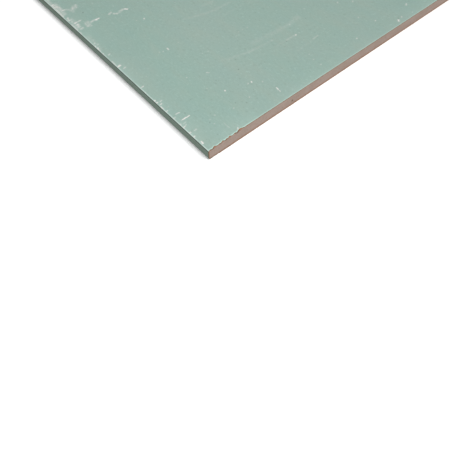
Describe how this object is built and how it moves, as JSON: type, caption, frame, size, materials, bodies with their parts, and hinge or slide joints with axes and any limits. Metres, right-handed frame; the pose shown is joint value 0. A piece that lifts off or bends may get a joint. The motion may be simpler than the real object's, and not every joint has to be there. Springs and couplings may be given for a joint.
{
  "type": "drywall sheet",
  "caption": "Flat moisture-resistant drywall sheet: gypsum core in green face paper wrapped round tapered long edges, with sawn ends, to line walls and ceilings.",
  "frame": {"origin": "on the floor under the middle of the sheet, which lies flat with its face up", "axes": "+X along the length, +Y across the width from one tapered long edge to the other, +Z out of the face"},
  "size_m": [2.5, 1.2, 0.0125],
  "materials": {
    "gypsum_core": "matte",
    "face_paper": "matte",
    "back_paper": "matte"
  },
  "bodies": {
    "root": {"gypsum_core": "gypsum_core", "face_paper": "face_paper", "back_paper": "back_paper"}
  },
  "joints": []
}
